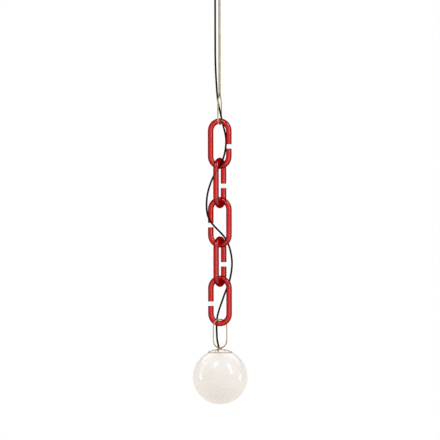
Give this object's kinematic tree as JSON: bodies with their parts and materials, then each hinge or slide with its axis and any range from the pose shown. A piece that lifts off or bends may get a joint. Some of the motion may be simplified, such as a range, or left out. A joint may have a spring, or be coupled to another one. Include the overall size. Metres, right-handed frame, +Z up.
{
  "type": "pendant lamp",
  "caption": "Pendant lamp: an opal globe under a shallow brass cap hangs by wire loops and a chain of open red links from a slim stem, with its cable woven down the chain.",
  "frame": {"origin": "centre of the ceiling bracket, in the plane that bears on the ceiling", "axes": "+Z up, out of the bracket's ceiling face; the stem and chain hang along -Z; +X in the plane of the first, third and fifth links; +Y along the bracket"},
  "size_m": [0.14, 0.14, 1.115],
  "materials": {
    "brass": "satin pale brass",
    "zinc_steel": "zinc plated",
    "red_tint": "tinted, glossy, partly see-through",
    "opal_glass": "opal, satin-smooth",
    "clear_glass": "clear",
    "glow": "phosphor coated rods",
    "white_plastic": "moulded",
    "clip_plastic": "moulded",
    "white_ceramic": "glazed",
    "black_sheath": "black braided sheath",
    "core_sheath": "insulated cores",
    "black_rubber": "moulded",
    "clear_silicone": "soft"
  },
  "bodies": {
    "stem_mount": {"ceiling_bracket": "zinc_steel", "stem_hub": "brass", "lock_nut": "brass", "terminal_block": "white_plastic", "terminal_screws": "brass", "block_screw": "zinc_steel", "cord_clip": "clip_plastic", "clip_screw": "zinc_steel", "supply_cores": "core_sheath", "stem": "brass", "upper_loop": "brass", "cable_upper": "black_sheath"},
    "canopy_cover": {"canopy": "brass", "canopy_collar": "brass", "collar_screw": "zinc_steel", "canopy_grommet": "black_rubber"},
    "chain_link_1": {"link_1": "red_tint", "cable_1": "black_sheath"},
    "chain_link_2": {"link_2": "red_tint", "cable_2": "black_sheath"},
    "chain_link_3": {"link_3": "red_tint", "cable_3": "black_sheath"},
    "chain_link_4": {"link_4": "red_tint", "cable_4": "black_sheath"},
    "chain_link_5": {"link_5": "red_tint", "cable_5": "black_sheath"},
    "lamp": {"lower_loop": "brass", "loop_saddle": "brass", "cap": "brass", "cap_grommet": "black_rubber", "globe_gasket": "clear_silicone", "stud_spacer": "brass", "carrier_plate": "zinc_steel", "stud_nut": "brass", "globe_springs": "zinc_steel", "spring_rivets": "zinc_steel", "holder_posts": "brass", "post_screws": "zinc_steel", "lampholder_shell": "white_plastic", "lampholder_core": "white_ceramic", "holder_contacts": "brass", "holder_cores": "core_sheath", "globe": "opal_glass", "bulb_glass": "clear_glass", "bulb_base": "zinc_steel", "bulb_filaments": "glow", "cable_6": "black_sheath", "cable_tail": "black_sheath"}
  },
  "joints": [
    {"name": "canopy_slide", "type": "slide", "parent": "stem_mount", "child": "canopy_cover", "axis": [0, 0, 1], "range_m": [-0.08, 0], "stiffness_N_per_m": 60, "springref_m": 0.1},
    {"name": "link_1_swing", "type": "hinge", "parent": "stem_mount", "child": "chain_link_1", "pos_m": [0, 0, -0.39815], "axis": [-0.153, 0.9882, 0], "range_deg": [-30, 30], "deforming": ["cable_1"]},
    {"name": "link_2_swing", "type": "hinge", "parent": "chain_link_1", "child": "chain_link_2", "pos_m": [0, 0, -0.50455], "axis": [1, 0, 0], "range_deg": [-30, 30], "deforming": ["cable_2"]},
    {"name": "link_3_swing", "type": "hinge", "parent": "chain_link_2", "child": "chain_link_3", "pos_m": [0, 0, -0.60535], "axis": [0, 1, 0], "range_deg": [-30, 30], "deforming": ["cable_3"]},
    {"name": "link_4_swing", "type": "hinge", "parent": "chain_link_3", "child": "chain_link_4", "pos_m": [0, 0, -0.70615], "axis": [1, 0, 0], "range_deg": [-30, 30], "deforming": ["cable_4"]},
    {"name": "link_5_swing", "type": "hinge", "parent": "chain_link_4", "child": "chain_link_5", "pos_m": [0, 0, -0.80695], "axis": [0, 1, 0], "range_deg": [-30, 30], "deforming": ["cable_5"]},
    {"name": "lamp_swing", "type": "hinge", "parent": "chain_link_5", "child": "lamp", "pos_m": [0, 0, -0.90475], "axis": [1, 0, 0], "range_deg": [-25, 25], "deforming": ["cable_6"]}
  ]
}
